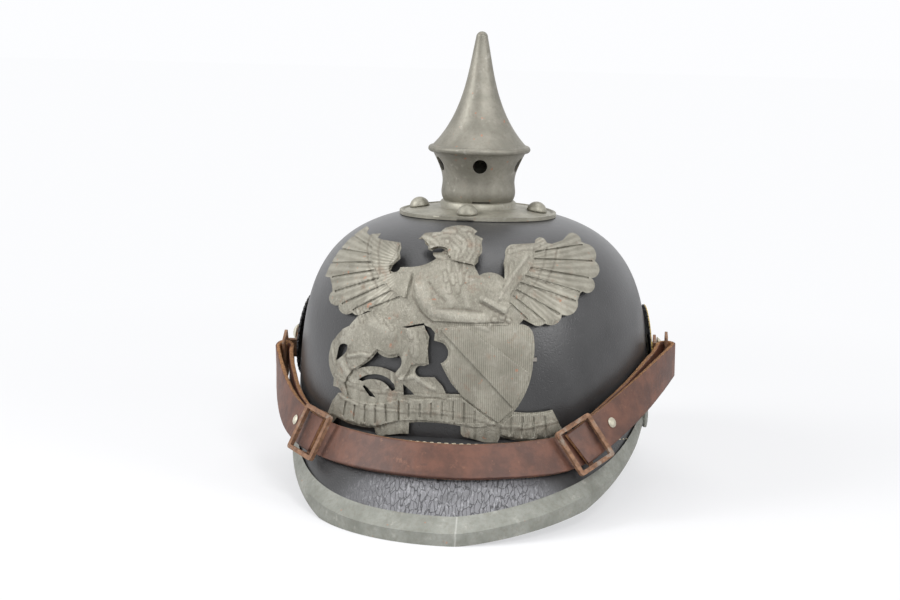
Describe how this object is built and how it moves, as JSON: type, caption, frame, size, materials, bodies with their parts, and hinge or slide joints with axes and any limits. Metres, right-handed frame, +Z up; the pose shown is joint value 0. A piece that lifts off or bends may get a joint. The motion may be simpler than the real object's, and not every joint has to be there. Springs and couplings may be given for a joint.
{
  "type": "spiked leather helmet",
  "caption": "Black leather helmet with a metal spike, pierced heraldic front plate, side rosettes and a leather chin strap.",
  "frame": {"origin": "middle of the footprint, at the height of the brims' lowest edges", "axes": "+Z up towards the spike's tip, -Y towards the front visor, +X towards the wearer's left"},
  "size_m": [0.2195, 0.3132, 0.2387],
  "materials": {
    "black_leather": "worn lacquer",
    "worn_metal": "worn, spotted",
    "plate_metal": "worn, spotted",
    "post_metal": "satin",
    "inner_steel": "dull",
    "rusty_steel": "rusty",
    "cockade_left_paint": "worn paint",
    "cockade_right_paint": "worn paint",
    "strap_leather": "worn",
    "liner_leather": "matt"
  },
  "bodies": {
    "shell": {"skull": "black_leather", "front_visor": "black_leather", "neck_guard": "black_leather", "visor_trim": "worn_metal", "trim_tabs": "worn_metal", "rear_spine": "worn_metal", "spine_rivets": "worn_metal", "spike_base": "worn_metal", "base_studs": "worn_metal", "stud_washers": "inner_steel", "front_plate": "plate_metal", "plate_loops": "inner_steel", "plate_wedges": "liner_leather", "post_left": "post_metal", "post_right": "post_metal", "post_washers": "inner_steel", "sweatband": "liner_leather", "liner": "liner_leather"},
    "spike": {"spike_neck": "worn_metal", "spike_cone": "worn_metal"},
    "slider": {"vent_slider": "worn_metal"},
    "rosette_left": {"cockade_left": "cockade_left_paint"},
    "rosette_right": {"cockade_right": "cockade_right_paint"},
    "strap": {"chin_strap": "strap_leather", "lug_left": "rusty_steel", "lug_right": "rusty_steel", "strap_rivets": "rusty_steel"},
    "left_buckle": {"buckle_left": "rusty_steel"},
    "right_buckle": {"buckle_right": "rusty_steel"}
  },
  "joints": [
    {"name": "spike_lift", "type": "slide", "parent": "shell", "child": "spike", "axis": [0, 0, 1], "range_m": [0, 0.06]},
    {"name": "vent_slide", "type": "hinge", "parent": "shell", "child": "slider", "pos_m": [0, 0.05094, 0.08467], "axis": [1, 0, 0], "range_deg": [0, 10.5]},
    {"name": "cockade_left_turn", "type": "hinge", "parent": "shell", "child": "rosette_left", "pos_m": [0.09325, 0.015, 0.068], "axis": [0.9898, 0.1232, 0.0722], "continuous": true},
    {"name": "cockade_right_turn", "type": "hinge", "parent": "shell", "child": "rosette_right", "pos_m": [-0.09325, 0.015, 0.068], "axis": [-0.9898, 0.1232, 0.0722], "continuous": true},
    {"name": "chinstrap_swing", "type": "hinge", "parent": "shell", "child": "strap", "pos_m": [0, 0.01567, 0.06839], "axis": [-1, 0, 0], "range_deg": [0, 60]},
    {"name": "buckle_left_slide", "type": "slide", "parent": "strap", "child": "left_buckle", "axis": [0.659, 0.6765, 0.3288], "range_m": [-0.002, 0.004]},
    {"name": "buckle_right_slide", "type": "slide", "parent": "strap", "child": "right_buckle", "axis": [-0.5788, 0.812, 0.0748], "range_m": [-0.003, 0.004]}
  ]
}
